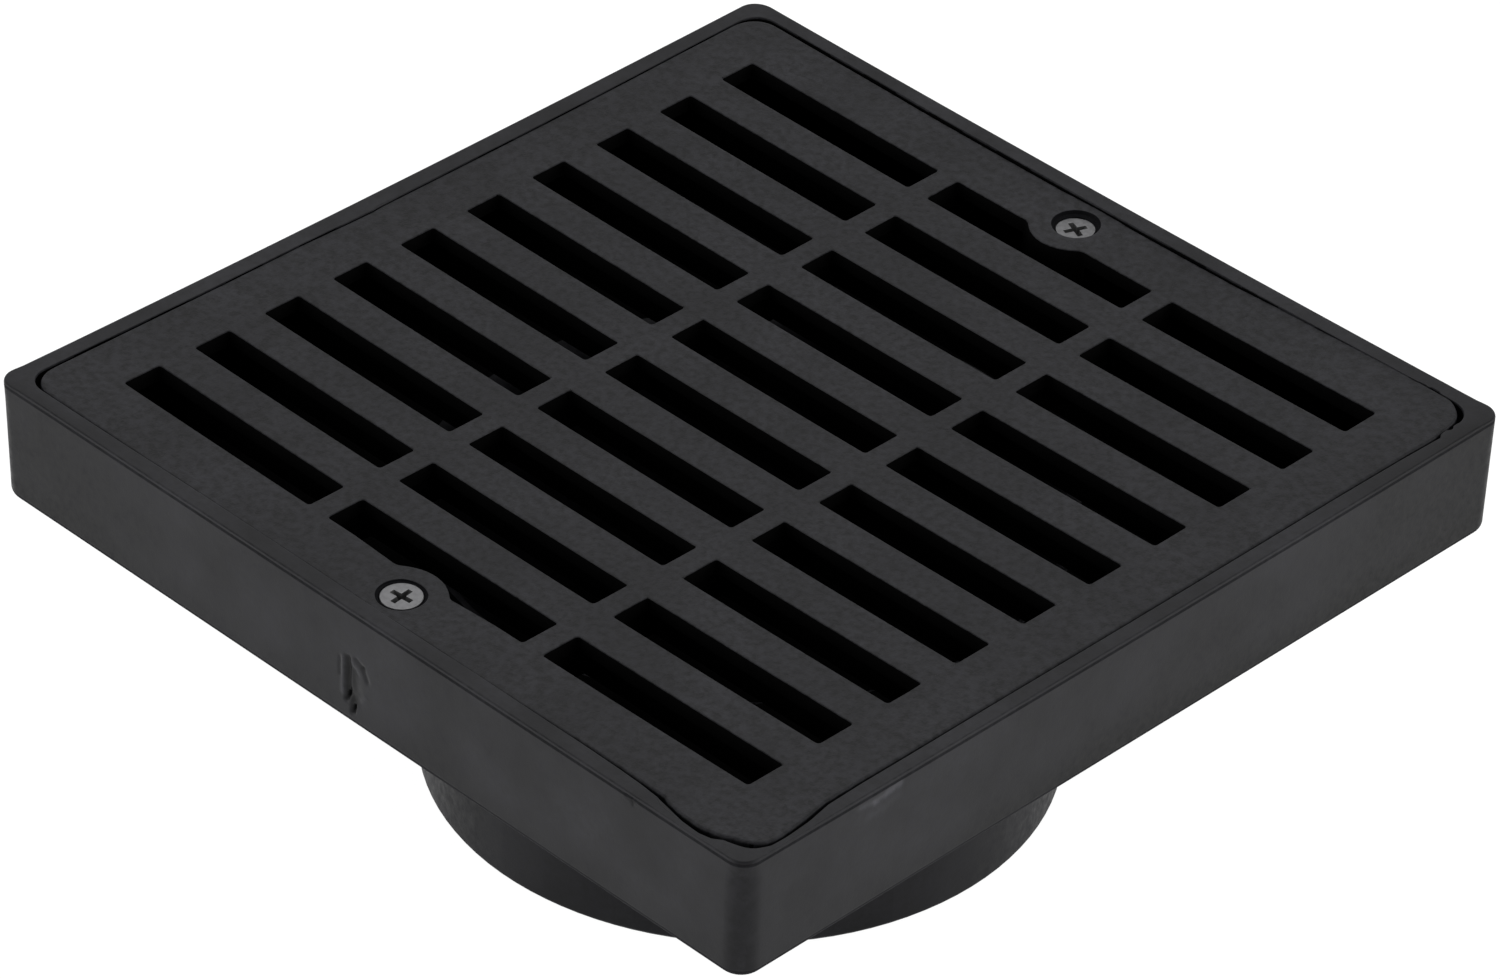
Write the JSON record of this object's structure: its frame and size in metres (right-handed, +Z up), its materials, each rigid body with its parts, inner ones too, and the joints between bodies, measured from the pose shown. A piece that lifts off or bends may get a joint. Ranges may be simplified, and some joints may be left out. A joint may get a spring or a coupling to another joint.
{
  "type": "drain grate",
  "caption": "Square slotted drain grate screwed into a shallow square housing with a round outlet that pushes into a drain pipe.",
  "frame": {"origin": "centre of the round outlet's lower end, which is the middle of the underside of the bounding box", "axes": "+Z up along the outlet's axis, +X along the slots, +Y across the rows of slots"},
  "size_m": [0.235, 0.235, 0.0965],
  "materials": {
    "housing_plastic": "matte moulded",
    "grate_plastic": "matte textured",
    "screw_steel": "dull plated"
  },
  "bodies": {
    "root": {"housing": "housing_plastic", "grate": "grate_plastic", "front_screw": "screw_steel", "back_screw": "screw_steel"}
  },
  "joints": []
}
